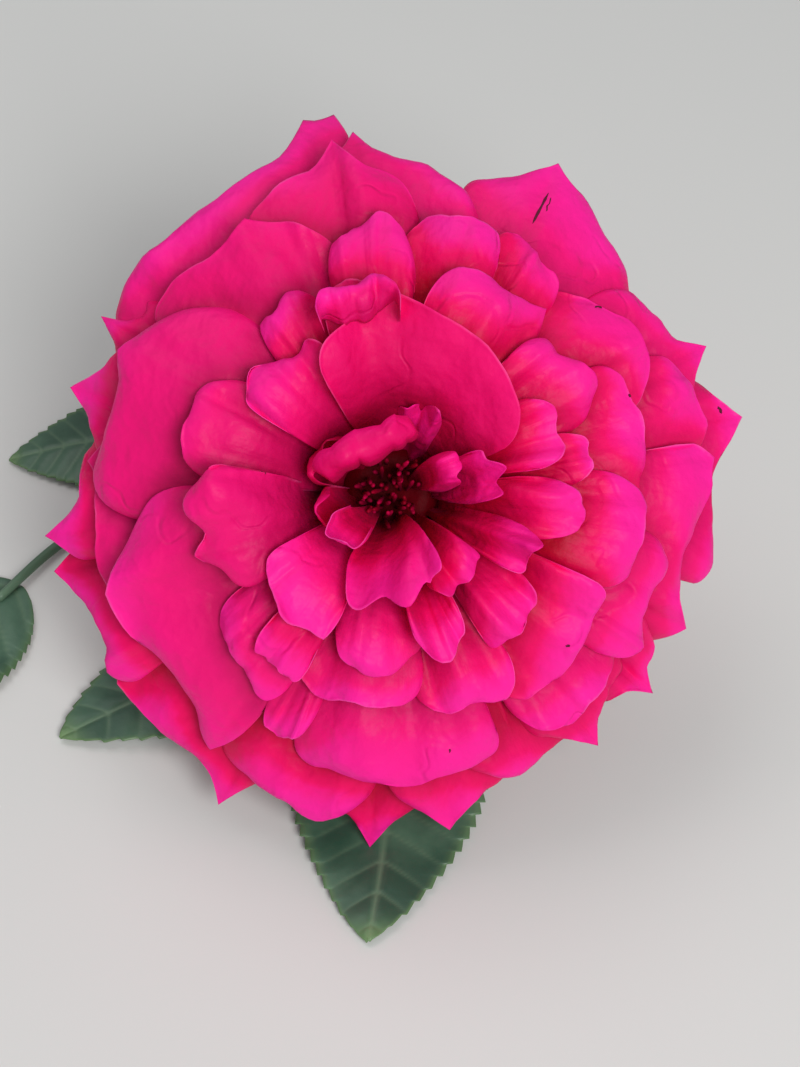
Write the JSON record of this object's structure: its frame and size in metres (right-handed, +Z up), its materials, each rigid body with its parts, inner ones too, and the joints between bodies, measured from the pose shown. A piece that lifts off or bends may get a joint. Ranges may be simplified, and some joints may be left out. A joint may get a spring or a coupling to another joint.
{
  "type": "rose bloom on a cut stem",
  "caption": "Fully open double pink rose bloom on a short cut stem with two toothed compound leaves, lying down.",
  "frame": {"origin": "centre of the footprint, on the surface the cut bloom lies on", "axes": "+Z up; the bloom faces -Y and up at 48 degrees, the stem's cut end points along +Y, +X is the bloom's right as seen from in front"},
  "size_m": [0.159, 0.1436, 0.091],
  "materials": {
    "petal": "soft matte with a faint sheen",
    "petal_outer": "soft matte with a faint sheen",
    "petal_heart": "soft matte, deep",
    "green": "smooth, waxy green",
    "leaf": "leathery, half gloss"
  },
  "bodies": {
    "root": {"guard_petal_01": "petal_outer", "guard_petal_02": "petal_outer", "guard_petal_03": "petal_outer", "guard_petal_04": "petal_outer", "guard_petal_05": "petal_outer", "guard_petal_06": "petal_outer", "guard_petal_07": "petal_outer", "guard_petal_08": "petal_outer", "guard_petal_09": "petal_outer", "guard_petal_10": "petal_outer", "guard_petal_11": "petal_outer", "guard_petal_12": "petal_outer", "guard_petal_13": "petal_outer", "guard_petal_14": "petal_outer", "guard_petal_15": "petal_outer", "guard_petal_16": "petal_outer", "outer_petal_01": "petal", "outer_petal_02": "petal", "outer_petal_03": "petal", "outer_petal_04": "petal", "outer_petal_05": "petal", "outer_petal_06": "petal", "outer_petal_07": "petal", "outer_petal_08": "petal", "outer_petal_09": "petal", "outer_petal_10": "petal", "outer_petal_11": "petal", "outer_petal_12": "petal", "inner_petal_01": "petal", "inner_petal_02": "petal", "inner_petal_03": "petal", "inner_petal_04": "petal", "inner_petal_05": "petal", "inner_petal_06": "petal", "inner_petal_07": "petal", "inner_petal_08": "petal", "inner_petal_09": "petal", "inner_petal_10": "petal", "inner_petal_11": "petal", "inner_petal_12": "petal", "inner_petal_13": "petal", "inner_petal_14": "petal", "inner_petal_15": "petal", "inner_petal_16": "petal", "inner_petal_17": "petal", "inner_petal_18": "petal", "inner_petal_19": "petal", "inner_petal_20": "petal", "inner_petal_21": "petal", "inner_petal_22": "petal", "inner_petal_23": "petal", "inner_petal_24": "petal", "inner_petal_25": "petal", "heart_petals": "petal_heart", "hip_and_sepals": "green", "cut_stem": "green", "front_leaf": "leaf", "left_leaf": "leaf"}
  },
  "joints": []
}
